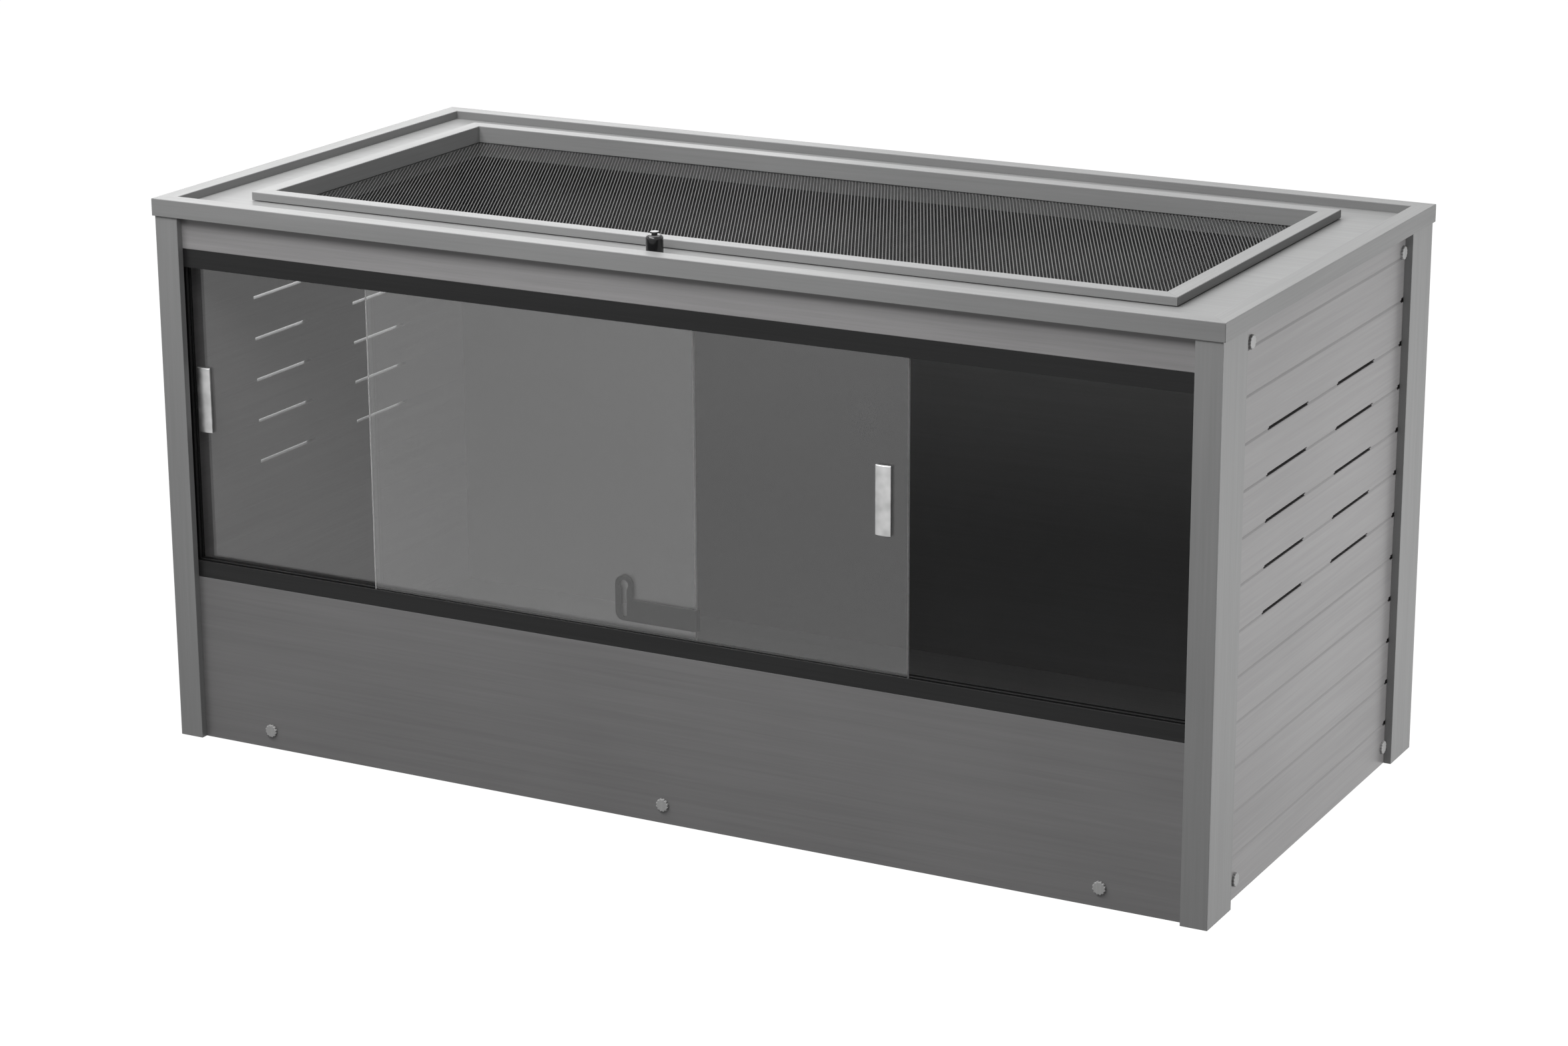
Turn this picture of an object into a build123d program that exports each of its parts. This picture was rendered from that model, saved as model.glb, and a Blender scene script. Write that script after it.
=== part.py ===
from build123d import *
import os

# Free-standing growing enclosure: a boarded box on corner posts, two sliding glass panes
# in front, ventilation slots in both sides and a lift-off mesh lid let into the top.
# Millimetres. Origin: centre of the footprint on the ground. +X right, +Y back, +Z up.

# Overall
width = 1200.0                # across the corner posts
depth = 575.0                 # across the corner posts
height = 595.0                # ground to the top of the rim

# Corner posts: L-section cover profiles
post_face = 28.0              # leg seen from the front and the back
post_side = 60.0              # leg seen from the side
post_wall = 8.0

# Rim and deck
rim_width = 20.0
rim_height = 18.5
rim_overhang = 2.0
rim_edge = 0.8                # small radius on the long outer edges
deck_drop = 9.0               # deck surface below the top of the rim
deck_gap = 0.3                # shadow gap between deck and rim

# Side boards, tongued and grooved
board_thickness = 12.0
board_count = 12              # boards a side, sharing the height under the top rail
top_rail_height = 24.5
tongue_width = 4.0
tongue_height = 5.0
tongue_clearance = 0.2
board_arris = 0.5             # small chamfer on each board's lower edge
board_bevel_height = 2.8      # sloping shoulder along each board's upper edge
board_bevel_depth = 1.4
relief_length = 6.0           # notch beside each post at every joint
relief_height = 5.0
relief_depth = 8.5
relief_under_post = 5.0       # how far the notch goes on behind the post's side leg
vent_joints = range(2, 7)     # joints with slots, counted down from the top rail
vent_length = 105.0
vent_height = 3.6
vent_spread = 187.0           # centre to centre of the two columns

# Front: panel, tracks and fascia, all one thickness
lower_panel_height = 182.0
fascia_height = 34.0
track_wall = 2.0
track_rib = 3.0
bottom_track_height = 18.0
bottom_groove = 8.0
top_track_height = 20.0
top_groove = 17.0
channel_web = 2.0
channel_reveal = 2.0          # how far the side channels stay behind the post's face leg

# Floor
floor_thickness = 12.0
floor_bottom = 14.0

# Glass panes
glass_thickness = 4.0
glass_clearance = 0.5         # each side of a pane in its groove, and under it
glass_top_gap = 8.5           # free height above a pane, so that it lifts out
glass_end_gap = 4.0           # pane edge to the web of the side channel when closed
pane_overlap = 72.0           # of the two closed panes, behind one another
pane_arris = 0.4
right_pane_open = 310.0       # how far the right pane stands open to the left

# Pull handles on the panes
handle_width = 16.5
handle_height = 71.0
handle_thickness = 3.2
handle_edge_thickness = 1.8
handle_edge_round = 0.9
handle_inset = 18.0           # from the pane's edge
handle_lift = 177.0           # handle's middle above the bottom track
handle_gap = 0.1              # adhesive film

# Catch plate with keyhole, hooked on the left pane's free edge
catch_thickness = 2.0
catch_gap = 0.2               # plate to glass
catch_lip_thickness = 1.0
catch_lift = 9.0              # above the bottom track
catch_bar_height = 23.0
catch_length = 92.0
catch_upright_width = 20.0
catch_upright_height = 48.0
catch_hook_lip = 9.0
catch_corner = 9.0            # rounded outer corner of the L
keyhole_radius = 5.3
keyhole_slot = 6.5
keyhole_foot = 4.0            # solid left below the slot

# Lid
lid_inset_side = 75.0
lid_inset_front = 70.0
lid_rail_width = 18.0
lid_rail_height = 8.6
lid_seat_gap = 0.9            # shadow gap, flange to deck
lid_skirt = 6.0
lid_skirt_drop = 26.0         # below the flange
lid_clearance = 1.0           # skirt to deck opening
lid_edge = 0.8
mesh_thickness = 1.2
mesh_depth = 18.6             # mesh surface below the top of the lid
mesh_bite = 3.0               # into the rail groove
mesh_clearance = 0.1

# Deck bearers
bearer_width = 18.0
bearer_height = 36.5

# Lid lock on the front strip of the deck
lock_offset = 20.0            # left of the middle
lock_from_front = 42.0
lock_radius = 8.8
lock_body_height = 20.2       # above the deck surface
lock_shoulder_round = 4.0
barrel_radius = 6.0
barrel_length = 18.0          # below the deck surface
barrel_clearance = 0.2
spindle_radius = 3.0
spindle_clearance = 0.06
knob_neck = 1.6
knob_radius = 4.7
knob_height = 1.4
knob_round = 0.5
nut_flats = 18.0
nut_height = 5.0
nut_clearance = 0.05
cam_thickness = 2.6
cam_width = 8.0
cam_bite = 5.0                # into the lid's skirt
cam_below_deck = 19.4         # deck surface to the top of the cam
cam_slot_clearance = 0.6

# Fluted cap screws
cap_radius = 7.0
cap_height = 2.5
cap_chamfer = 0.4
cap_flutes = 12
flute_radius = 1.1
flute_set = 0.35              # flute centres outside the cap's edge
shank_radius = 2.0
shank_clearance = 0.1
shank_bite = 12.0             # into the piece behind
front_screw_inset = 115.0     # from the outer face of the posts
top_screw_drop = 20.0         # below the top of the posts
side_screw_front = 88.0       # from the front of the posts
side_screw_rear = 67.0        # from the back of the posts

# Worked out from the sizes above
right = width / 2
front, back = -depth / 2, depth / 2
post_height = height - rim_height
deck_top = height - deck_drop
groove_width = glass_thickness + 2 * glass_clearance
track_depth = 2 * track_wall + track_rib + 2 * groove_width
face_y = front + post_wall                      # recessed front surface
inner_y = face_y + track_depth                  # inside of the front
wall_x = right - post_wall                      # outer surface of the side boards
inner_x = wall_x - board_thickness
rear_y = back - post_wall - board_thickness     # inside of the rear panel
top_rail_bottom = post_height - top_rail_height
board_pitch = top_rail_bottom / board_count
bottom_track_top = lower_panel_height + bottom_track_height
top_track_top = post_height - fascia_height
top_track_bottom = top_track_top - top_track_height
front_groove_y = face_y + track_wall
rear_groove_y = front_groove_y + groove_width + track_rib
pane_bottom = bottom_track_top - bottom_groove + glass_clearance
pane_top = top_track_bottom + top_groove - glass_top_gap
pane_limit = wall_x - channel_web - glass_end_gap
pane_width = pane_limit + pane_overlap / 2
handle_middle = bottom_track_top + handle_lift
catch_bottom = bottom_track_top + catch_lift
lid_x = right - lid_inset_side
lid_y = depth / 2 - lid_inset_front
skirt_set = lid_rail_width - lid_skirt          # skirt's outer face inside the flange edge
lid_top = deck_top + lid_seat_gap + lid_rail_height
lid_flange_bottom = deck_top + lid_seat_gap
skirt_bottom = lid_flange_bottom - lid_skirt_drop
mesh_top = lid_top - mesh_depth
lock_x = -lock_offset
lock_y = front + lock_from_front
skirt_y = -lid_y + skirt_set                    # outer face of the lid's front skirt
cam_top = deck_top - cam_below_deck
cam_reach = skirt_y - lock_y + cam_bite
low_screw_z = floor_bottom + floor_thickness / 2
high_screw_z = post_height - top_screw_drop
front_screw_x = right - front_screw_inset


def block(x0, x1, y0, y1, z0, z1):
    """A box between two corners."""
    centre = Pos((x0 + x1) / 2, (y0 + y1) / 2, (z0 + z1) / 2)
    return centre * Box(x1 - x0, y1 - y0, z1 - z0)


def upright(x, y, z0, z1, radius):
    """A vertical cylinder."""
    return Pos(x, y, (z0 + z1) / 2) * Cylinder(radius, z1 - z0)


def mirrored(shape):
    """The same piece on the other side of the middle plane."""
    return shape.mirror(Plane.YZ)


def save(name, shape):
    solids = shape.solids()
    shape = solids[0] if len(solids) == 1 else Compound(children=list(solids))
    shape.label = name
    export_step(shape, f"parts/{name}.step")


# Fluted cap screws: places as (point on the board's face, direction into the board)
def screw_places():
    places = []
    for x in (-front_screw_x, 0, front_screw_x):
        places.append(((x, face_y, low_screw_z), (0, 1, 0)))
    for side in (-1, 1):
        for y in (front + side_screw_front, back - side_screw_rear):
            for z in (low_screw_z, high_screw_z):
                places.append(((side * wall_x, y, z), (-side, 0, 0)))
    return places


def shank_length(direction):
    through = track_depth if direction[1] else board_thickness
    return through + shank_bite


def cap_screw(point, direction):
    flutes = PolarLocations(cap_radius + flute_set, cap_flutes) * Circle(flute_radius)
    cap = extrude(Circle(cap_radius) - flutes, -cap_height)
    cap = chamfer(cap.faces().sort_by(Axis.Z)[0].outer_wire().edges(), cap_chamfer)
    shank = extrude(Circle(shank_radius), shank_length(direction))
    return Plane(origin=point, z_dir=direction) * (cap + shank)


def drill(piece):
    """Clearance holes for every cap screw that crosses the piece."""
    box = piece.bounding_box()
    for point, direction in screw_places():
        depth_needed = shank_length(direction) + 2 * shank_clearance
        hole = Plane(origin=point, z_dir=direction) * extrude(
            Circle(shank_radius + shank_clearance), depth_needed
        )
        reach = hole.bounding_box()
        apart = (
            reach.max.X < box.min.X or reach.min.X > box.max.X
            or reach.max.Y < box.min.Y or reach.min.Y > box.max.Y
            or reach.max.Z < box.min.Z or reach.min.Z > box.max.Z
        )
        if not apart:
            piece = piece - hole
    return piece


# Corner posts
def corner_post(x_sign, y_sign):
    face_leg = block(right - post_face, right, back - post_wall, back, 0, post_height)
    side_leg = block(right - post_wall, right, back - post_side, back, 0, post_height)
    post = face_leg + side_leg
    long_edges = [e for e in post.edges().filter_by(Axis.Z) if e.center().X > right - 1]
    post = fillet([e for e in long_edges if e.center().Y > back - 1], rim_edge)
    if x_sign < 0:
        post = post.mirror(Plane.YZ)
    if y_sign < 0:
        post = post.mirror(Plane.XZ)
    return post


# Side boards
def vent_spans():
    for side in (-1, 1):
        middle = side * vent_spread / 2
        yield middle - vent_length / 2, middle + vent_length / 2


def tongue(z, extra):
    """The tongue standing on a joint, or the groove that takes it when extra is given."""
    middle = (wall_x + inner_x) / 2
    half = tongue_width / 2 + extra
    return block(middle - half, middle + half, inner_y, rear_y, z, z + tongue_height + extra)


def relief_spans():
    """Where the notches beside the posts lie along the board."""
    yield front + post_side - relief_under_post, front + post_side + relief_length
    yield back - post_side - relief_length, back - post_side + relief_under_post


def side_board(number):
    """Board of the right-hand side, number 1 at the ground."""
    z0 = (number - 1) * board_pitch
    z1 = number * board_pitch
    profile = make_face(
        Polyline(
            (inner_x, z0),
            (wall_x - board_arris, z0),
            (wall_x, z0 + board_arris),
            (wall_x, z1 - board_bevel_height),
            (wall_x - board_bevel_depth, z1),
            (inner_x, z1),
            close=True,
        )
    )
    board = Pos(0, inner_y, 0) * extrude(Plane.XZ * profile, inner_y - rear_y)
    board = board + tongue(z1, 0)
    if number > 1:
        board = board - tongue(z0, tongue_clearance)
    for y0, y1 in vent_spans():
        if board_count - number in vent_joints:
            top_cut = z1 - vent_height / 2
            board = board - block(inner_x, wall_x, y0, y1, top_cut, z1 + tongue_height)
        if board_count - number + 1 in vent_joints:
            board = board - block(inner_x, wall_x, y0, y1, z0, z0 + vent_height / 2)
    for y0, y1 in relief_spans():
        inside = wall_x - relief_depth
        board = board - block(
            inside, wall_x, y0, y1, z1 - relief_height / 2, z1 + tongue_height
        )
        if number > 1:
            board = board - block(inside, wall_x, y0, y1, z0, z0 + relief_height / 2)
    return drill(board)


def side_top_rail():
    rail = block(inner_x, wall_x, inner_y, rear_y, top_rail_bottom, post_height)
    lower = [e for e in rail.edges().filter_by(Axis.Y) if e.center().X > wall_x - 1]
    rail = chamfer([e for e in lower if e.center().Z < top_rail_bottom + 1], board_arris)
    rail = rail - tongue(top_rail_bottom, tongue_clearance)
    for y0, y1 in relief_spans():
        rail = rail - block(
            wall_x - relief_depth, wall_x, y0, y1,
            top_rail_bottom, top_rail_bottom + relief_height / 2,
        )
    return drill(rail)


def deck_bearer():
    bearer = block(
        inner_x - bearer_width, inner_x, inner_y, rear_y, post_height - bearer_height, post_height
    )
    return drill(bearer)


# Rails mitred at both ends: a profile drawn as (distance in from the outer edge, height)
def mitred_rail(profile, half_length, half_width, rail_depth, edge):
    """Front rail of a rectangular frame, with its outer edge at y = -half_width."""
    points = [(-half_width + u, z) for u, z in profile]
    face = make_face(Polyline(*points, close=True))
    bar = extrude(Plane.YZ * face, half_length, both=True)
    outline = make_face(
        Polyline(
            (-half_length, -half_width),
            (half_length, -half_width),
            (half_length - rail_depth, -half_width + rail_depth),
            (-half_length + rail_depth, -half_width + rail_depth),
            close=True,
        )
    )
    top = max(z for _, z in profile)
    low = min(z for _, z in profile)
    rail = bar & (Pos(0, 0, low) * extrude(outline, top - low))
    upper = [e for e in rail.edges().filter_by(Axis.X) if e.center().Z > top - 0.01]
    return fillet(upper, edge)


def frame_rails(profile, half_x, half_y, rail_depth, edge):
    """The four rails of a frame: front, rear, left, right."""
    across = mitred_rail(profile, half_x, half_y, rail_depth, edge)
    along = mitred_rail(profile, half_y, half_x, rail_depth, edge)
    return {
        "front": across,
        "rear": across.mirror(Plane.XZ),
        "left": Rot(0, 0, -90) * along,
        "right": Rot(0, 0, 90) * along,
    }


def rim_rails():
    profile = [(0, post_height), (0, height), (rim_width, height), (rim_width, post_height)]
    return frame_rails(
        profile, width / 2 + rim_overhang, depth / 2 + rim_overhang, rim_width, rim_edge
    )


def lid_rails():
    groove_top = mesh_top + mesh_clearance
    groove_low = mesh_top - mesh_thickness - mesh_clearance
    profile = [
        (0, lid_flange_bottom),
        (0, lid_top),
        (lid_rail_width, lid_top),
        (lid_rail_width, groove_top),
        (lid_rail_width - mesh_bite, groove_top),
        (lid_rail_width - mesh_bite, groove_low),
        (lid_rail_width, groove_low),
        (lid_rail_width, skirt_bottom),
        (skirt_set, skirt_bottom),
        (skirt_set, lid_flange_bottom),
    ]
    rails = frame_rails(profile, lid_x, lid_y, lid_rail_width, lid_edge)
    rails["front"] = rails["front"] - cam_slot()
    return rails


def lid_mesh():
    """Envelope of the mesh, held in the grooves of the four rails."""
    half_x = lid_x - lid_rail_width + mesh_bite - mesh_clearance
    half_y = lid_y - lid_rail_width + mesh_bite - mesh_clearance
    return block(-half_x, half_x, -half_y, half_y, mesh_top - mesh_thickness, mesh_top)


# Deck
def deck_panel():
    edge_x = right + rim_overhang - rim_width - deck_gap
    edge_y = back + rim_overhang - rim_width - deck_gap
    deck = block(-edge_x, edge_x, -edge_y, edge_y, post_height, deck_top)
    open_x = lid_x - skirt_set + lid_clearance
    open_y = lid_y - skirt_set + lid_clearance
    deck = deck - block(-open_x, open_x, -open_y, open_y, post_height, deck_top)
    return deck - upright(lock_x, lock_y, post_height, deck_top, barrel_radius + barrel_clearance)


# Front, rear and floor
def lower_front_panel():
    return drill(block(-wall_x, wall_x, face_y, inner_y, 0, lower_panel_height))


def front_fascia():
    return block(-wall_x, wall_x, face_y, inner_y, top_track_top, post_height)


def rear_panel():
    return block(-wall_x, wall_x, rear_y, rear_y + board_thickness, 0, post_height)


def floor_panel():
    top = floor_bottom + floor_thickness
    return drill(block(-inner_x, inner_x, inner_y, rear_y, floor_bottom, top))


# Tracks and channels for the panes
def grooves(x0, x1, z0, z1):
    near = block(x0, x1, front_groove_y, front_groove_y + groove_width, z0, z1)
    far = block(x0, x1, rear_groove_y, rear_groove_y + groove_width, z0, z1)
    return near + far


def bottom_track():
    bar = block(-wall_x, wall_x, face_y, inner_y, lower_panel_height, bottom_track_top)
    return bar - grooves(-wall_x, wall_x, bottom_track_top - bottom_groove, bottom_track_top)


def top_track():
    bar = block(-wall_x, wall_x, face_y, inner_y, top_track_bottom, top_track_top)
    return bar - grooves(-wall_x, wall_x, top_track_bottom, top_track_bottom + top_groove)


def right_channel():
    lip = right - post_face + channel_reveal
    bar = block(lip, wall_x, face_y, inner_y, bottom_track_top, top_track_bottom)
    return bar - grooves(lip, wall_x - channel_web, bottom_track_top, top_track_bottom)


# Sliding panes
def glass_pane(x0, groove_y):
    y0 = groove_y + glass_clearance
    pane = block(x0, x0 + pane_width, y0, y0 + glass_thickness, pane_bottom, pane_top)
    return chamfer(pane.edges().filter_by(Axis.Z), pane_arris)


def pull_handle(x0, groove_y):
    """A slim pull with a shallow crowned front, stuck on the glass."""
    y_back = groove_y + glass_clearance - handle_gap
    y_edge = y_back - handle_edge_thickness
    y_crown = y_back - handle_thickness
    x1 = x0 + handle_width
    crown = ThreePointArc((x0, y_edge), ((x0 + x1) / 2, y_crown), (x1, y_edge))
    sides = Polyline((x1, y_edge), (x1, y_back), (x0, y_back), (x0, y_edge))
    low = handle_middle - handle_height / 2
    body = Pos(0, 0, low) * extrude(make_face([crown, sides]), handle_height)
    return fillet(body.edges().filter_by(GeomType.CIRCLE), handle_edge_round)


def catch_plate(edge_x, glass_front):
    """L-shaped plate in front of the pane, hooked round the pane's vertical edge at edge_x."""
    y1 = glass_front - catch_gap
    y0 = y1 - catch_thickness
    x0 = edge_x - catch_length
    x1 = x0 + catch_upright_width
    stem_x = (x0 + x1) / 2
    head_z = catch_bottom + catch_upright_height - catch_upright_width / 2
    bar_top = catch_bottom + catch_bar_height
    hook_x = edge_x + catch_gap
    hook_end = hook_x + catch_thickness
    lip_y = glass_front + glass_thickness + catch_gap
    hook_back = lip_y + catch_lip_thickness

    def disc(z, radius):
        circle = Plane.XZ.offset(-y1) * Circle(radius)
        return Pos(stem_x, 0, z) * extrude(circle, catch_thickness)

    plate = block(x0, hook_end, y0, y1, catch_bottom, bar_top)
    low_edges = plate.edges().filter_by(Axis.Y).group_by(Axis.Z)[0]
    plate = fillet(low_edges.sort_by(Axis.X)[0], catch_corner)
    plate = plate + block(x0, x1, y0, y1, bar_top, head_z)
    plate = plate + disc(head_z, catch_upright_width / 2)
    half = keyhole_slot / 2
    slot_low = catch_bottom + keyhole_foot + half
    slot = block(stem_x - half, stem_x + half, y0, y1, slot_low, head_z)
    plate = plate - disc(head_z, keyhole_radius) - slot - disc(slot_low, half)
    side = block(hook_x, hook_end, y0, hook_back, catch_bottom, bar_top)
    lip = block(edge_x - catch_hook_lip, hook_end, lip_y, hook_back, catch_bottom, bar_top)
    return plate + side + lip


# Lid lock
def lock_housing():
    """Round body with a rounded shoulder and a barrel through the deck."""
    crown = deck_top + lock_body_height
    body = upright(lock_x, lock_y, deck_top, crown, lock_radius)
    body = fillet(body.edges().sort_by(Axis.Z)[-1], lock_shoulder_round)
    barrel = upright(lock_x, lock_y, deck_top - barrel_length, deck_top, barrel_radius)
    bore = upright(
        lock_x, lock_y, deck_top - barrel_length, crown, spindle_radius + spindle_clearance
    )
    return body + barrel - bore


def lock_nut():
    nut = extrude(RegularPolygon(nut_flats / 2, 6, major_radius=False), nut_height)
    bore = extrude(Circle(barrel_radius + nut_clearance), nut_height)
    return Pos(lock_x, lock_y, post_height - nut_height) * (nut - bore)


def lock_knob():
    """Turning knob: mushroom head, neck and spindle down to the cam."""
    crown = deck_top + lock_body_height
    head_low = crown + knob_neck
    spindle = upright(lock_x, lock_y, cam_top, head_low, spindle_radius)
    head = upright(lock_x, lock_y, head_low, head_low + knob_height, knob_radius)
    head = fillet(head.edges().sort_by(Axis.Z)[-1], knob_round)
    return spindle + head


def cam_tongue(width_extra, height_extra):
    half = cam_width / 2 + width_extra
    top = cam_top + height_extra
    low = cam_top - cam_thickness - height_extra
    return block(-cam_reach, 0, -half, half, low, top) + upright(0, 0, low, top, half)


def lock_cam():
    """Tongue at the foot of the spindle. It points left when the lid is free."""
    return Pos(lock_x, lock_y, 0) * cam_tongue(0, 0)


def cam_slot():
    """Slot in the lid's front skirt that the tongue turns into."""
    sweep = cam_reach + cam_slot_clearance
    half = cam_width / 2 + cam_slot_clearance
    entry = (sweep**2 - (skirt_y - lock_y - half) ** 2) ** 0.5
    low = cam_top - cam_thickness - cam_slot_clearance
    high = cam_top + cam_slot_clearance
    skirt_in = skirt_y + lid_skirt
    return block(lock_x - entry - half, lock_x + half, skirt_y, skirt_in, low, high)


def main():
    os.makedirs("parts", exist_ok=True)

    for y_name, y_sign in (("front", -1), ("rear", 1)):
        for x_name, x_sign in (("left", -1), ("right", 1)):
            save(f"corner_post_{y_name}_{x_name}", corner_post(x_sign, y_sign))

    for number in range(1, board_count + 1):
        board = side_board(number)
        save(f"side_board_right_{number:02d}", board)
        save(f"side_board_left_{number:02d}", mirrored(board))
    for name, piece in (("side_top_rail", side_top_rail()), ("deck_bearer", deck_bearer())):
        save(f"{name}_right", piece)
        save(f"{name}_left", mirrored(piece))

    for side, rail in rim_rails().items():
        save(f"rim_{side}", rail)
    save("deck_panel", deck_panel())
    save("front_fascia", front_fascia())
    save("lower_front_panel", lower_front_panel())
    save("rear_panel", rear_panel())
    save("floor_panel", floor_panel())

    save("bottom_track", bottom_track())
    save("top_track", top_track())
    save("side_channel_right", right_channel())
    save("side_channel_left", mirrored(right_channel()))
    save("cap_screws", Compound(children=[cap_screw(*place) for place in screw_places()]))

    left_x = -pane_limit
    left_glass_front = rear_groove_y + glass_clearance
    save("left_pane", glass_pane(left_x, rear_groove_y))
    save("left_pane_handle", pull_handle(left_x + handle_inset, rear_groove_y))
    save("left_pane_catch", catch_plate(left_x + pane_width, left_glass_front))

    right_x = pane_limit - pane_width - right_pane_open
    handle_x = right_x + pane_width - handle_inset - handle_width
    save("right_pane", glass_pane(right_x, front_groove_y))
    save("right_pane_handle", pull_handle(handle_x, front_groove_y))

    for side, rail in lid_rails().items():
        save(f"lid_rail_{side}", rail)
    save("lid_mesh", lid_mesh())

    save("lid_lock_housing", lock_housing())
    save("lid_lock_nut", lock_nut())
    save("lid_lock_knob", lock_knob())
    save("lid_lock_cam", lock_cam())


main()
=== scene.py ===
import math

import bmesh
import bpy
from bpy.props import FloatProperty, FloatVectorProperty, PointerProperty
from mathutils import Matrix, Vector


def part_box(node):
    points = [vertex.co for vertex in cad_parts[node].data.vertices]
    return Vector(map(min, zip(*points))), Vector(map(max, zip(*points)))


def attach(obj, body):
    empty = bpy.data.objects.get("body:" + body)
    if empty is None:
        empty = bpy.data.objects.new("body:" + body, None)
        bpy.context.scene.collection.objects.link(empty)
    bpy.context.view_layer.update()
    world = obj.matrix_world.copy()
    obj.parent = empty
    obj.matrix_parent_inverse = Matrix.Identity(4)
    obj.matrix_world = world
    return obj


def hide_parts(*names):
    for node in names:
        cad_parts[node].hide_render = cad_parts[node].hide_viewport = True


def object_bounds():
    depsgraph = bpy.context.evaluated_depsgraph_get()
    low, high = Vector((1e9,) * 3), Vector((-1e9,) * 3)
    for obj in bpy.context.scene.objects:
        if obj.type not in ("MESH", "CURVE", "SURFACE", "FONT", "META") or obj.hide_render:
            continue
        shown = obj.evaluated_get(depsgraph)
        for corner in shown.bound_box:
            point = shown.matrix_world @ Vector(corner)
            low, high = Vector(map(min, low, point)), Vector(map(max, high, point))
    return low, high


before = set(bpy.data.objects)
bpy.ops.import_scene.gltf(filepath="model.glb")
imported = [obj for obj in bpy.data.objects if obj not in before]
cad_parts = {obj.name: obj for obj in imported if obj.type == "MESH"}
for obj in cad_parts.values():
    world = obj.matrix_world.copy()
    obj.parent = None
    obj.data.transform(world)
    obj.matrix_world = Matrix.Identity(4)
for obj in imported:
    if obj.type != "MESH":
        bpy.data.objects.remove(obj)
CAD_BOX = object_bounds()

bl_info = {
    "name": "Growing Enclosure Looks",
    "version": (1, 0, 0),
    "blender": (4, 5, 0),
    "location": "View3D > Sidebar > Enclosure",
    "description": "Finishes, mesh lid and studio for a boarded growing enclosure",
    "category": "Object",
}

MM = 0.001

# Streaks of a drawn surface: scale along, scale across, share
STREAK_LAYERS = ((9, 460, 0.36), (5, 170, 0.40), (1.6, 45, 0.24))
EDGE_RADIUS = 0.8 * MM
STREAK_DEPTH = 0.03 * MM
STREAK_BUMP = 0.3
BOARD_TONE_SPREAD = 0.05
# painted reflection: the pulls' colour is lightened in blotches by this factor
PULL_REFLECTION_LIFT = 0.52 / 0.36       # lightest blotches of the satin pulls

GLASS_INDEX = 1.52
GLASS_TINT = 0.945            # of light seen through a pane
GLASS_SHADE = 0.89            # of light that falls through a pane
GROUND_EDGE_ROUGHNESS = 0.45
FACE_LIMIT = 0.9              # a pane's faces look along Y, its ground edges do not

SENSOR_WIDTH = 36
VIEW_REACH = 100              # farthest thing the camera sees
CAMERA_PLACE = (1.8591, -3.4864, 1.4341)
FLOOR_RADIUS = 40
FLOOR_SEGMENTS = 96
FLOOR_GAP = 0.5 * MM
FLOOR_COLOUR = (0.06, 0.06, 0.06)
FLOOR_GLOW = 0.04             # light the floor throws on the object
FLOOR_SEEN = 0.95             # added where the floor is seen or mirrored

# Lights: setting with the power, size, place, point aimed at
LIGHTS = (
    ("overhead", (4.5, 3.5), (-0.7, 0.6, 3.4), (0, 0, 0.3)),
    ("front", (2.2, 0.6), (-0.3, -1.45, 1.75), (0.35, -0.28, 0.4)),
    ("side", (1.0, 0.4), (1.5, 0.1, 0.28), (0.6, 0, 0.3)),
    ("rear", (1.6, 0.9), (-1.9, 2.1, 1.15), (-0.2, 0, 0.4)),
)


# Sizes and colours that a user would change

def grey(name, description, value):
    return FloatVectorProperty(
        name=name, description=description, default=value, size=3, subtype="COLOR", min=0, max=1
    )


def length(name, description, value):
    return FloatProperty(
        name=name, description=description, default=value, min=0, unit="LENGTH", subtype="DISTANCE"
    )


class EnclosureFinish(bpy.types.PropertyGroup):
    profile: grey("Posts and rim", "Colour of the extruded cover profiles", (0.200, 0.201, 0.201))
    lid: grey("Lid rails", "Colour of the lid's rails", (0.215, 0.216, 0.216))
    boards: grey("Boards", "Colour of the side boards", (0.200, 0.195, 0.197))
    # The fascia is lighter and the lower panel darker: partly the boards' own tone, partly painted
    # light falling off down the front
    fascia: grey("Fascia", "Colour of the board above the panes", (0.228, 0.223, 0.225))
    front: grey("Lower panel", "Colour of the board below the panes", (0.140, 0.138, 0.139))
    deck: grey("Deck", "Colour of the deck around the lid", (0.215, 0.216, 0.216))
    # painted shade: the rear wall, floor and bearers are made dark for the shade inside the box
    inside: grey("Inside", "Colour of the rear wall and the floor", (0.056, 0.056, 0.056))
    track: grey("Tracks", "Colour of the tracks and channels", (0.009, 0.009, 0.0092))
    steel: grey("Pull handles", "Colour of the satin pulls", (0.36, 0.36, 0.36))
    catch: grey("Catch plate", "Colour of the painted catch plate", (0.004, 0.004, 0.004))
    cap: grey("Cap screws", "Colour of the moulded caps", (0.340, 0.340, 0.338))
    wire: grey("Mesh", "Colour of the lid's strands", (0.085, 0.085, 0.085))
    lock: grey("Lid lock", "Colour of the lock's moulded body", (0.006, 0.006, 0.0065))


class MeshSizes(bpy.types.PropertyGroup):
    short_way: length("Short way", "Width of a diamond, side to side", 3.9 * MM)
    long_way: length("Long way", "Length of a diamond, front to back", 7.9 * MM)
    strand: length("Strand", "Width of a strand", 1.15 * MM)
    thickness: length("Thickness", "Thickness of the sheet", 0.1 * MM)
    lean: FloatProperty(
        name="Lean", description="Turn of each strand about its length, from stretching the sheet",
        default=math.radians(20), min=0, max=math.radians(60), unit="ROTATION", subtype="ANGLE",
    )


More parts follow.
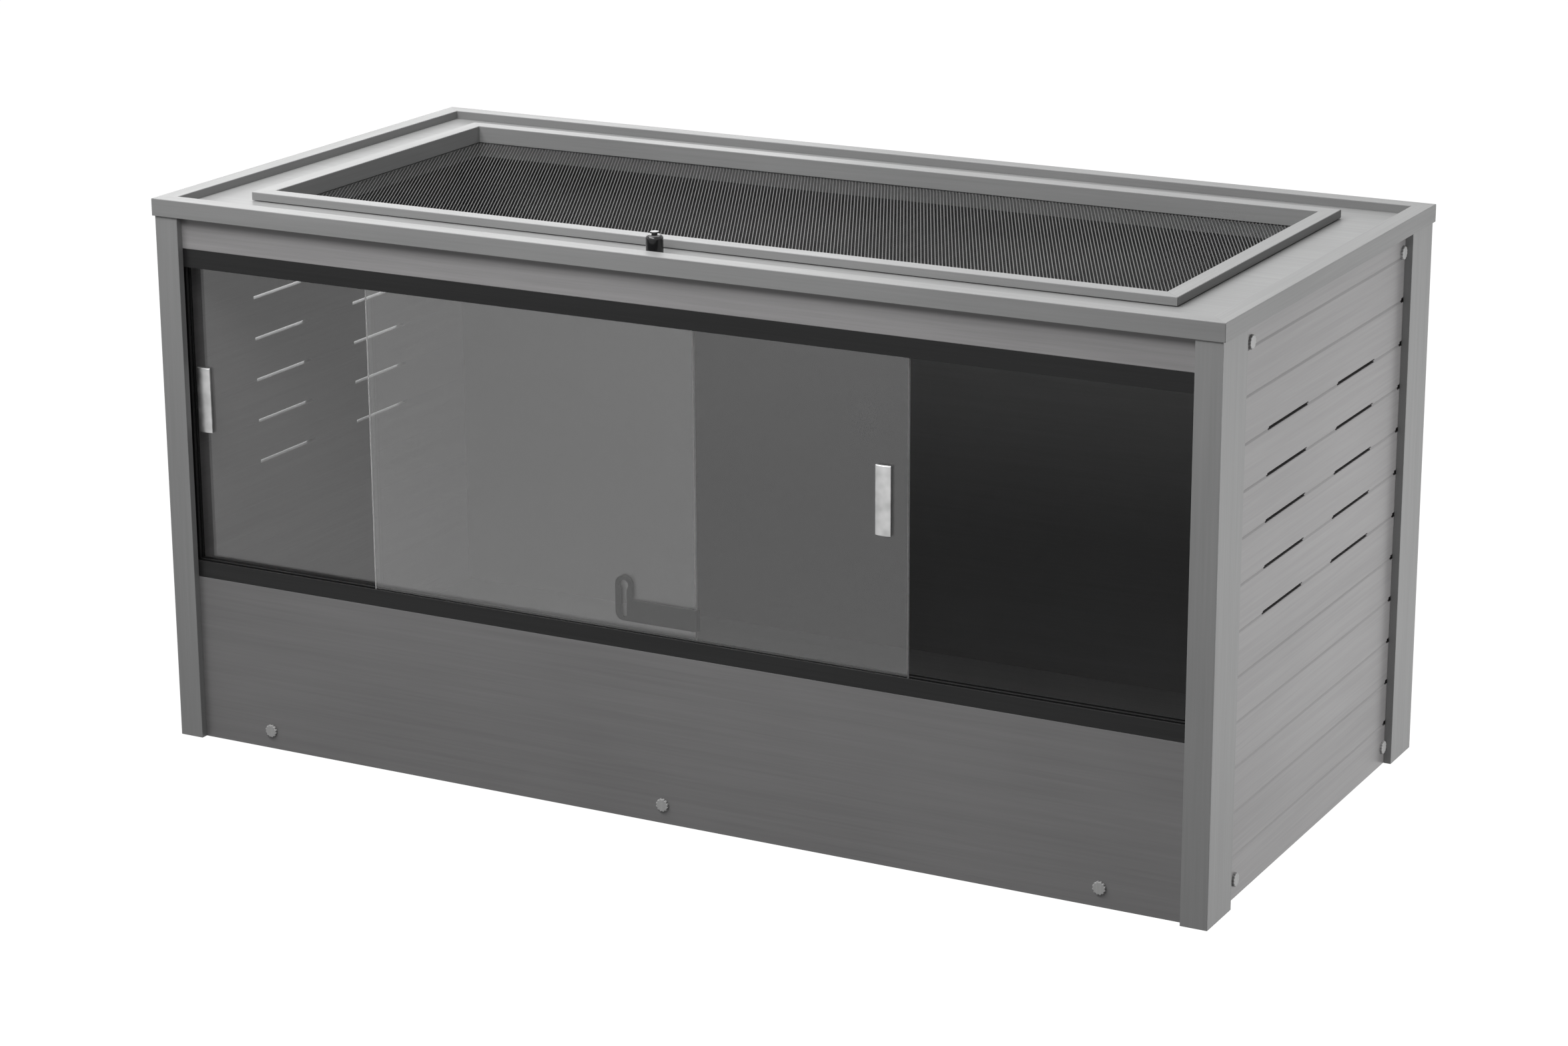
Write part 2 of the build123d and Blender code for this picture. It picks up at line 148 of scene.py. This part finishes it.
class StudioSettings(bpy.types.PropertyGroup):
    lens: FloatProperty(name="Lens", description="Focal length in mm", default=88.97, min=10)
    azimuth: FloatProperty(name="Azimuth", description="Degrees round to the right", default=28.17)
    pitch: FloatProperty(name="Pitch", description="Degrees below the horizon", default=16.74)
    roll: FloatProperty(name="Roll", description="Degrees of camera roll", default=-0.26)
    overhead: FloatProperty(name="Overhead light", description="Power in watts", default=150, min=0)
    front: FloatProperty(name="Front light", description="Power in watts", default=41, min=0)
    side: FloatProperty(name="Side light", description="Power in watts", default=8.4, min=0)
    rear: FloatProperty(name="Rear light", description="Power in watts", default=8, min=0)
    ambient: FloatProperty(name="Ambient", description="Strength of the room", default=0.15, min=0)


# Node helpers

def new_material(name):
    material = bpy.data.materials.new(name)
    material.use_nodes = True
    tree = material.node_tree
    tree.nodes.clear()
    output = tree.nodes.new("ShaderNodeOutputMaterial")
    shader = tree.nodes.new("ShaderNodeBsdfPrincipled")
    tree.links.new(shader.outputs["BSDF"], output.inputs["Surface"])
    return material, tree, shader


def fill_socket(tree, socket, value):
    """Give a socket a link, a number or a colour."""
    if isinstance(value, bpy.types.NodeSocket):
        tree.links.new(value, socket)
    elif isinstance(value, (int, float)):
        socket.default_value = value
    else:
        socket.default_value = (*value, 1)


def math_node(tree, operation, *values):
    node = tree.nodes.new("ShaderNodeMath")
    node.operation = operation
    for socket, value in zip(node.inputs, values):
        fill_socket(tree, socket, value)
    return node.outputs["Value"]


def mix_colour(tree, factor, first, second):
    node = tree.nodes.new("ShaderNodeMix")
    node.data_type = "RGBA"
    for name, value in (("Factor_Float", factor), ("A_Color", first), ("B_Color", second)):
        socket = next(socket for socket in node.inputs if socket.identifier == name)
        fill_socket(tree, socket, value)
    return next(socket for socket in node.outputs if socket.identifier == "Result_Color")


def noise(tree, vector, scale, detail=2.0, roughness=0.5):
    node = tree.nodes.new("ShaderNodeTexNoise")
    tree.links.new(vector, node.inputs["Vector"])
    node.inputs["Scale"].default_value = scale
    node.inputs["Detail"].default_value = detail
    node.inputs["Roughness"].default_value = roughness
    return node.outputs["Fac"]


def remap(tree, value, low, high, to_low, to_high):
    node = tree.nodes.new("ShaderNodeMapRange")
    tree.links.new(value, node.inputs["Value"])
    limits = {"From Min": low, "From Max": high, "To Min": to_low, "To Max": to_high}
    for name, number in limits.items():
        node.inputs[name].default_value = number
    return node.outputs["Result"]


def object_coordinates(tree):
    return tree.nodes.new("ShaderNodeTexCoord").outputs["Object"]


# Shared effects

def group(name, inputs, outputs):
    """A new shader node group. Inputs are (name, type, default), outputs (name, type)."""
    tree = bpy.data.node_groups.new(name, "ShaderNodeTree")
    for label, kind, default in inputs:
        socket = tree.interface.new_socket(name=label, in_out="INPUT", socket_type=kind)
        if default is not None:
            socket.default_value = default
    for label, kind in outputs:
        tree.interface.new_socket(name=label, in_out="OUTPUT", socket_type=kind)
    return tree, tree.nodes.new("NodeGroupInput"), tree.nodes.new("NodeGroupOutput")


def drawn_surface_group():
    """Extruded or rolled surface with streaks along the first axis of the vector."""
    tree, given, result = group(
        "drawn_surface",
        [
            ("Vector", "NodeSocketVector", None),
            ("Colour", "NodeSocketColor", (0.3, 0.3, 0.3, 1)),
            ("Streaks", "NodeSocketFloat", 0.2),
            ("Clouds", "NodeSocketFloat", 0.08),
            ("Wear", "NodeSocketFloat", 0.0),
            ("Roughness", "NodeSocketFloat", 0.45),
        ],
        [
            ("Colour", "NodeSocketColor"),
            ("Roughness", "NodeSocketFloat"),
            ("Height", "NodeSocketFloat"),
        ],
    )
    layers = []
    for along_scale, across_scale, share in STREAK_LAYERS:
        stretched = tree.nodes.new("ShaderNodeMapping")
        stretched.inputs["Scale"].default_value = (along_scale, across_scale, across_scale)
        tree.links.new(given.outputs["Vector"], stretched.inputs["Vector"])
        layer = noise(tree, stretched.outputs["Vector"], scale=1)
        layers.append(math_node(tree, "MULTIPLY", layer, share))
    clouds = noise(tree, given.outputs["Vector"], scale=4, detail=3)
    streaks = math_node(tree, "ADD", math_node(tree, "ADD", layers[0], layers[1]), layers[2])
    signed = remap(tree, streaks, 0.35, 0.65, -1, 1)
    drift = remap(tree, clouds, 0.3, 0.7, -1, 1)
    shade = math_node(
        tree, "ADD",
        math_node(tree, "MULTIPLY", signed, given.outputs["Streaks"]),
        math_node(tree, "MULTIPLY", drift, given.outputs["Clouds"]),
    )
    # The colour is lifted by the painted edge highlight and by each board's own tone
    factor = math_node(tree, "ADD", math_node(tree, "ADD", shade, 1), given.outputs["Wear"])
    scaled = tree.nodes.new("ShaderNodeVectorMath")
    scaled.operation = "SCALE"
    tree.links.new(given.outputs["Colour"], scaled.inputs[0])
    tree.links.new(factor, scaled.inputs["Scale"])
    tree.links.new(scaled.outputs["Vector"], result.inputs["Colour"])
    polish = math_node(tree, "MULTIPLY", shade, 0.4)
    rough = math_node(tree, "SUBTRACT", given.outputs["Roughness"], polish)
    tree.links.new(rough, result.inputs["Roughness"])
    tree.links.new(streaks, result.inputs["Height"])


def edge_bevel_and_painted_highlight_group():
    """Rounded normal at the edges, and a mask of painted highlight along the edges, broken into
    patches.
    """
    tree, given, result = group(
        "edge_wear",
        [("Radius", "NodeSocketFloat", EDGE_RADIUS), ("Vector", "NodeSocketVector", None)],
        [("Mask", "NodeSocketFloat"), ("Normal", "NodeSocketVector")],
    )
    rounded = tree.nodes.new("ShaderNodeBevel")
    rounded.samples = 3
    tree.links.new(given.outputs["Radius"], rounded.inputs["Radius"])
    geometry = tree.nodes.new("ShaderNodeNewGeometry")
    facing = tree.nodes.new("ShaderNodeVectorMath")
    facing.operation = "DOT_PRODUCT"
    tree.links.new(rounded.outputs["Normal"], facing.inputs[0])
    tree.links.new(geometry.outputs["Normal"], facing.inputs[1])
    edge = remap(tree, facing.outputs["Value"], 0.995, 0.9, 0, 1)
    patch_noise = noise(tree, given.outputs["Vector"], scale=45, roughness=0.6)
    patches = remap(tree, patch_noise, 0.35, 0.65, 0.5, 1)
    # painted highlight: the edge mask, broken into patches, later lightens the colour along the
    # edges
    tree.links.new(math_node(tree, "MULTIPLY", edge, patches), result.inputs["Mask"])
    tree.links.new(rounded.outputs["Normal"], result.inputs["Normal"])


def board_tone_group():
    """A slightly different tone for each board of a stack, from its height."""
    tree, given, result = group(
        "board_tone",
        [
            ("Vector", "NodeSocketVector", None),
            ("Pitch", "NodeSocketFloat", 46 * MM),
            ("Amount", "NodeSocketFloat", BOARD_TONE_SPREAD),
        ],
        [("Tone", "NodeSocketFloat")],
    )
    parts = tree.nodes.new("ShaderNodeSeparateXYZ")
    tree.links.new(given.outputs["Vector"], parts.inputs["Vector"])
    boards_up = math_node(tree, "DIVIDE", parts.outputs["Z"], given.outputs["Pitch"])
    number = math_node(tree, "FLOOR", boards_up)
    pick = tree.nodes.new("ShaderNodeTexWhiteNoise")
    pick.noise_dimensions = "1D"
    tree.links.new(number, pick.inputs["W"])
    signed = remap(tree, pick.outputs["Value"], 0, 1, -1, 1)
    tone = math_node(tree, "MULTIPLY", signed, given.outputs["Amount"])
    tree.links.new(tone, result.inputs["Tone"])


def place_group(tree, name, **values):
    node = tree.nodes.new("ShaderNodeGroup")
    node.node_tree = bpy.data.node_groups[name]
    for label, value in values.items():
        fill_socket(tree, node.inputs[label], value)
    return node


def bump(tree, height, normal):
    """Normal of the streaks on top of the given normal."""
    node = tree.nodes.new("ShaderNodeBump")
    node.inputs["Strength"].default_value = STREAK_BUMP
    node.inputs["Distance"].default_value = STREAK_DEPTH
    tree.links.new(height, node.inputs["Height"])
    tree.links.new(normal, node.inputs["Normal"])
    return node.outputs["Normal"]


AXIS_TURNS = {"X": (0, 0, 0), "Y": (0, 0, -math.pi / 2), "Z": (0, math.pi / 2, 0)}


def along(tree, axis):
    """Object coordinates turned so that their first axis runs along the piece."""
    coordinates = tree.nodes.new("ShaderNodeTexCoord")
    mapping = tree.nodes.new("ShaderNodeMapping")
    mapping.inputs["Rotation"].default_value = AXIS_TURNS[axis]
    tree.links.new(coordinates.outputs["Object"], mapping.inputs["Vector"])
    return mapping.outputs["Vector"]


def drawn_material(
    name, colour, axis, streaks=0.06, clouds=0.04, roughness=0.42, specular=0.5, painted_highlight=0.22, pitch=0
):
    """Streaked finish along an axis, with a painted highlight along the edges. With a pitch, each
    board of a stack gets its own tone.
    """
    material, tree, shader = new_material(name)
    vector = along(tree, axis)
    edges = place_group(tree, "edge_wear", Radius=EDGE_RADIUS, Vector=vector)
    # painted highlight: the edge mask lightens the colour by this amount
    lift = math_node(tree, "MULTIPLY", edges.outputs["Mask"], painted_highlight)
    if pitch:
        tone = place_group(
            tree, "board_tone",
            Vector=object_coordinates(tree), Pitch=pitch, Amount=BOARD_TONE_SPREAD,
        )
        lift = math_node(tree, "ADD", lift, tone.outputs["Tone"])
    surface = place_group(
        tree, "drawn_surface", Vector=vector, Colour=tuple(colour),
        Streaks=streaks, Clouds=clouds, Wear=lift, Roughness=roughness,
    )
    tree.links.new(surface.outputs["Colour"], shader.inputs["Base Color"])
    tree.links.new(surface.outputs["Roughness"], shader.inputs["Roughness"])
    shader.inputs["Specular IOR Level"].default_value = specular
    normal = bump(tree, surface.outputs["Height"], edges.outputs["Normal"])
    tree.links.new(normal, shader.inputs["Normal"])
    return material


def assign(material, *nodes):
    for name in nodes:
        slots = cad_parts[name].data.materials
        slots.clear()
        slots.append(material)


def named(*starts):
    return [name for name in sorted(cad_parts) if name.startswith(starts)]


def finish_settings():
    return bpy.context.scene.enclosure_finish


# Operators

class ENCLOSURE_OT_profiles(bpy.types.Operator):
    """Finish the corner posts, the rim and the lid's rails as drawn profiles"""
    bl_idname = "enclosure.profiles"
    bl_label = "Posts, rim and lid rails"

    def execute(self, context):
        finish = finish_settings()
        assign(drawn_material("post_profile", finish.profile, "Z"), *named("corner_post"))
        for name, colour in (("rim", finish.profile), ("lid_rail", finish.lid)):
            wide = drawn_material(f"{name}_profile_across", colour, "X", specular=0.35)
            deep = drawn_material(f"{name}_profile_deep", colour, "Y", specular=0.35)
            assign(wide, f"{name}_front", f"{name}_rear")
            assign(deep, f"{name}_left", f"{name}_right")
        return {"FINISHED"}


class ENCLOSURE_OT_boards(bpy.types.Operator):
    """Finish the side boards, front panels, deck, rear wall and floor"""
    bl_idname = "enclosure.boards"
    bl_label = "Boards and panels"

    def execute(self, context):
        finish = finish_settings()
        low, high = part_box("side_board_right_01")
        stacked = drawn_material(
            "side_board", finish.boards, "Y", streaks=0.075, roughness=0.34, specular=0.6,
            pitch=high.z - low.z,
        )
        assign(stacked, *named("side_board", "side_top_rail"))
        # The fascia is lighter and the lower panel darker: partly the boards' own tone, partly
        # painted light falling off down the front
        fascia = drawn_material("fascia_board", finish.fascia, "X", streaks=0.11, clouds=0.05)
        assign(fascia, "front_fascia")
        lower = drawn_material("lower_board", finish.front, "X", streaks=0.09, clouds=0.07)
        assign(lower, "lower_front_panel")
        assign(drawn_material("deck", finish.deck, "X", specular=0.35), "deck_panel")
        # painted shade: the inside is made dark for the shade inside the box
        inside = drawn_material("inside_wall", finish.inside, "X")
        assign(inside, "rear_panel", "floor_panel", *named("deck_bearer"))
        return {"FINISHED"}


class ENCLOSURE_OT_tracks(bpy.types.Operator):
    """Finish the black tracks and side channels"""
    bl_idname = "enclosure.tracks"
    bl_label = "Tracks"

    def execute(self, context):
        colour = finish_settings().track
        # The tracks' edges get a strong painted highlight
        look = {"streaks": 0.3, "clouds": 0.1, "roughness": 0.4, "specular": 0.2, "painted_highlight": 1.5}
        assign(drawn_material("track", colour, "X", **look), "bottom_track", "top_track")
        assign(drawn_material("channel", colour, "Z", **look), *named("side_channel"))
        return {"FINISHED"}


def glass_material():
    """Clear float glass with ground edges, through which the lights reach the inside."""
    material, tree, shader = new_material("clear_glass")
    shader.inputs["Base Color"].default_value = (GLASS_TINT, GLASS_TINT, GLASS_TINT, 1)
    shader.inputs["IOR"].default_value = GLASS_INDEX
    geometry = tree.nodes.new("ShaderNodeNewGeometry")
    facing = tree.nodes.new("ShaderNodeSeparateXYZ")
    tree.links.new(geometry.outputs["Normal"], facing.inputs["Vector"])
    towards_y = math_node(tree, "ABSOLUTE", facing.outputs["Y"])
    ground_edge = math_node(tree, "LESS_THAN", towards_y, FACE_LIMIT)
    roughness = math_node(tree, "MULTIPLY", ground_edge, GROUND_EDGE_ROUGHNESS)
    tree.links.new(roughness, shader.inputs["Roughness"])
    shader.inputs["Transmission Weight"].default_value = 1
    clear = tree.nodes.new("ShaderNodeBsdfTransparent")
    clear.inputs["Color"].default_value = (GLASS_SHADE, GLASS_SHADE, GLASS_SHADE, 1)
    rays = tree.nodes.new("ShaderNodeLightPath").outputs
    passing = math_node(tree, "MAXIMUM", rays["Is Shadow Ray"], rays["Is Diffuse Ray"])
    mix = tree.nodes.new("ShaderNodeMixShader")
    tree.links.new(passing, mix.inputs["Fac"])
    tree.links.new(shader.outputs["BSDF"], mix.inputs[1])
    tree.links.new(clear.outputs["BSDF"], mix.inputs[2])
    tree.links.new(mix.outputs["Shader"], tree.nodes["Material Output"].inputs["Surface"])
    return material


class ENCLOSURE_OT_panes(bpy.types.Operator):
    """Finish the panes, their pull handles and the catch plate"""
    bl_idname = "enclosure.panes"
    bl_label = "Panes and pulls"

    def execute(self, context):
        finish = finish_settings()
        assign(glass_material(), "left_pane", "right_pane")
        pull, tree, shader = new_material("satin_pull")
        # painted reflection: lighter blotches in the pulls' colour stand for their blotchy
        # reflections
        blotches = noise(tree, object_coordinates(tree), scale=55)
        shader.inputs["Metallic"].default_value = 1
        lighter = tuple(channel * PULL_REFLECTION_LIFT for channel in finish.steel)
        share = remap(tree, blotches, 0.35, 0.7, 0, 1)
        colour = mix_colour(tree, share, tuple(finish.steel), lighter)
        tree.links.new(colour, shader.inputs["Base Color"])
        tree.links.new(remap(tree, blotches, 0.3, 0.7, 0.34, 0.48), shader.inputs["Roughness"])
        assign(pull, "left_pane_handle", "right_pane_handle")
        catch = drawn_material(
            "catch_paint", finish.catch, "X",
            streaks=0.15, clouds=0.1, roughness=0.6, specular=0.12, painted_highlight=0.5,
        )
        assign(catch, "left_pane_catch")
        return {"FINISHED"}


class ENCLOSURE_OT_small_parts(bpy.types.Operator):
    """Finish the cap screws and the lock's hidden metal"""
    bl_idname = "enclosure.small_parts"
    bl_label = "Cap screws and lock metal"

    def execute(self, context):
        finish = finish_settings()
        looks = (
            ("moulded_cap", finish.cap, "Z", 0.2, 0.5, ("cap_screws",)),
            ("plated_steel", finish.steel, "X", 0.1, 0.3, ("lid_lock_nut", "lid_lock_cam")),
            ("lock_body", finish.lock, "Z", 0.1, 0.12, ("lid_lock_housing", "lid_lock_knob")),
        )
        for name, colour, axis, clouds, roughness, nodes in looks:
            material = drawn_material(
                name, colour, axis, streaks=0.1, clouds=clouds, roughness=roughness
            )
            assign(material, *nodes)
        return {"FINISHED"}


def strand_row(bm, sizes, low, high, top, side):
    """Straight strands of a diamond mesh that all slope the same way across the opening."""
    middle = (low + high) / 2
    slope = math.atan2(sizes.short_way, sizes.long_way) * side
    run = Vector((math.sin(slope), math.cos(slope)))
    reach = (high.x - low.x) / 2 + (high.y - low.y) / 2 * abs(math.tan(slope))
    count = int(reach / sizes.short_way)
    for number in range(-count, count + 1):
        x = middle.x + number * sizes.short_way
        ends_y = [(edge - middle.y) / run.y for edge in (low.y, high.y)]
        ends_x = sorted((edge - x) / run.x for edge in (low.x, high.x))
        start, end = max(ends_y[0], ends_x[0]), min(ends_y[1], ends_x[1])
        if end - start < sizes.long_way:
            continue
        half = (start + end) / 2
        place = Matrix.Translation((x + run.x * half, middle.y + run.y * half, top))
        turn = Matrix.Rotation(-slope, 4, "Z") @ Matrix.Rotation(-sizes.lean, 4, "Y")
        size = Matrix.Diagonal((sizes.strand, end - start, sizes.thickness, 1))
        bmesh.ops.create_cube(bm, size=1, matrix=place @ turn @ size)


def object_from(bm, name, material):
    mesh = bpy.data.meshes.new(name)
    bm.to_mesh(mesh)
    bm.free()
    mesh.materials.append(material)
    made = bpy.data.objects.new(name, mesh)
    bpy.context.scene.collection.objects.link(made)
    return made


class ENCLOSURE_OT_lid_mesh(bpy.types.Operator):
    """Build the lid's diamond mesh between the rails"""
    bl_idname = "enclosure.lid_mesh"
    bl_label = "Lid mesh"

    def execute(self, context):
        sizes = context.scene.enclosure_mesh
        low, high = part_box("lid_mesh")
        inset = Vector((1, 1, 0)) * sizes.strand / 2
        rise = (sizes.strand * math.sin(sizes.lean) + sizes.thickness * math.cos(sizes.lean)) / 2
        bm = bmesh.new()
        for side in (-1, 1):
            strand_row(bm, sizes, low + inset, high - inset, high.z - rise, side)
        metal = drawn_material(
            "mesh_metal", finish_settings().wire, "Y",
            streaks=0.1, clouds=0.15, roughness=0.5, specular=0.3, painted_highlight=0,
        )
        piece = object_from(bm, "lid_mesh_strands", metal)
        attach(piece, "lid")
        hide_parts("lid_mesh")
        return {"FINISHED"}


# Studio

def area_light(name, power, size, location, target):
    data = bpy.data.lights.new(name, "AREA")
    data.shape = "RECTANGLE"
    data.size, data.size_y = size
    data.energy = power
    light = bpy.data.objects.new(name, data)
    light.location = location
    light.rotation_euler = (Vector(target) - Vector(location)).to_track_quat("-Z", "Y").to_euler()
    light.visible_camera = False
    bpy.context.scene.collection.objects.link(light)


def place_camera(scene, studio):
    data = bpy.data.cameras.new("camera")
    data.lens = studio.lens
    data.sensor_width = SENSOR_WIDTH
    data.clip_end = VIEW_REACH
    camera = bpy.data.objects.new("camera", data)
    camera.location = CAMERA_PLACE
    camera.rotation_euler = (
        Matrix.Rotation(math.radians(studio.azimuth), 4, "Z")
        @ Matrix.Rotation(math.radians(90 - studio.pitch), 4, "X")
        @ Matrix.Rotation(math.radians(studio.roll), 4, "Z")
    ).to_euler()
    scene.collection.objects.link(camera)
    scene.camera = camera


def floor_material():
    """Pale paper, bright where it is seen and dim in the light it throws on the object."""
    material, tree, shader = new_material("floor_paper")
    shader.inputs["Base Color"].default_value = (*FLOOR_COLOUR, 1)
    shader.inputs["Roughness"].default_value = 0.9
    shader.inputs["Specular IOR Level"].default_value = 0
    shader.inputs["Emission Color"].default_value = (1, 1, 1, 1)
    light = tree.nodes.new("ShaderNodeLightPath")
    seen = math_node(tree, "SUBTRACT", 1, light.outputs["Is Diffuse Ray"])
    glow = math_node(tree, "MULTIPLY_ADD", seen, FLOOR_SEEN, FLOOR_GLOW)
    tree.links.new(glow, shader.inputs["Emission Strength"])
    return material


def lay_floor():
    bm = bmesh.new()
    bmesh.ops.create_circle(bm, cap_ends=True, segments=FLOOR_SEGMENTS, radius=FLOOR_RADIUS)
    floor = object_from(bm, "floor", floor_material())
    floor.location.z = CAD_BOX[0].z - FLOOR_GAP


def white_room(scene, ambient):
    """White wherever it is seen or mirrored, dim in the light it throws on the object."""
    world = bpy.data.worlds.new("room")
    scene.world = world
    world.use_nodes = True
    tree = world.node_tree
    background = tree.nodes["Background"]
    light = tree.nodes.new("ShaderNodeLightPath")
    strength = math_node(tree, "MULTIPLY_ADD", light.outputs["Is Diffuse Ray"], ambient - 1, 1)
    tree.links.new(strength, background.inputs["Strength"])
    background.inputs["Color"].default_value = (1, 1, 1, 1)


class ENCLOSURE_OT_stage(bpy.types.Operator):
    """Lay the floor, set the lights and place the camera"""
    bl_idname = "enclosure.stage"
    bl_label = "Stage"

    def execute(self, context):
        scene = context.scene
        studio = scene.enclosure_studio
        scene.view_settings.view_transform = "Standard"
        scene.view_settings.look = "None"
        place_camera(scene, studio)
        lay_floor()
        white_room(scene, studio.ambient)
        for name, size, place, target in LIGHTS:
            area_light(name, getattr(studio, name), size, place, target)
        return {"FINISHED"}


STEPS = (
    ENCLOSURE_OT_profiles,
    ENCLOSURE_OT_boards,
    ENCLOSURE_OT_tracks,
    ENCLOSURE_OT_panes,
    ENCLOSURE_OT_small_parts,
    ENCLOSURE_OT_lid_mesh,
    ENCLOSURE_OT_stage,
)


class ENCLOSURE_PT_panel(bpy.types.Panel):
    bl_label = "Growing enclosure"
    bl_idname = "ENCLOSURE_PT_panel"
    bl_space_type = "VIEW_3D"
    bl_region_type = "UI"
    bl_category = "Enclosure"

    def draw(self, context):
        layout = self.layout
        scene = context.scene
        for settings in (scene.enclosure_finish, scene.enclosure_mesh, scene.enclosure_studio):
            for name in settings.bl_rna.properties.keys():
                if name not in {"rna_type", "name"}:
                    layout.prop(settings, name)
        for step in STEPS:
            layout.operator(step.bl_idname)


GROUPS = {
    "enclosure_finish": EnclosureFinish,
    "enclosure_mesh": MeshSizes,
    "enclosure_studio": StudioSettings,
}


def register():
    for cls in (*GROUPS.values(), *STEPS, ENCLOSURE_PT_panel):
        bpy.utils.register_class(cls)
    for name, cls in GROUPS.items():
        setattr(bpy.types.Scene, name, PointerProperty(type=cls))


def unregister():
    for name in GROUPS:
        delattr(bpy.types.Scene, name)
    for cls in (ENCLOSURE_PT_panel, *STEPS, *reversed(list(GROUPS.values()))):
        bpy.utils.unregister_class(cls)


def main():
    register()
    drawn_surface_group()
    edge_bevel_and_painted_highlight_group()
    board_tone_group()
    for step in STEPS:
        operator = getattr(bpy.ops.enclosure, step.bl_idname.split(".")[1])
        operator()


if __name__ == "__main__":
    main()
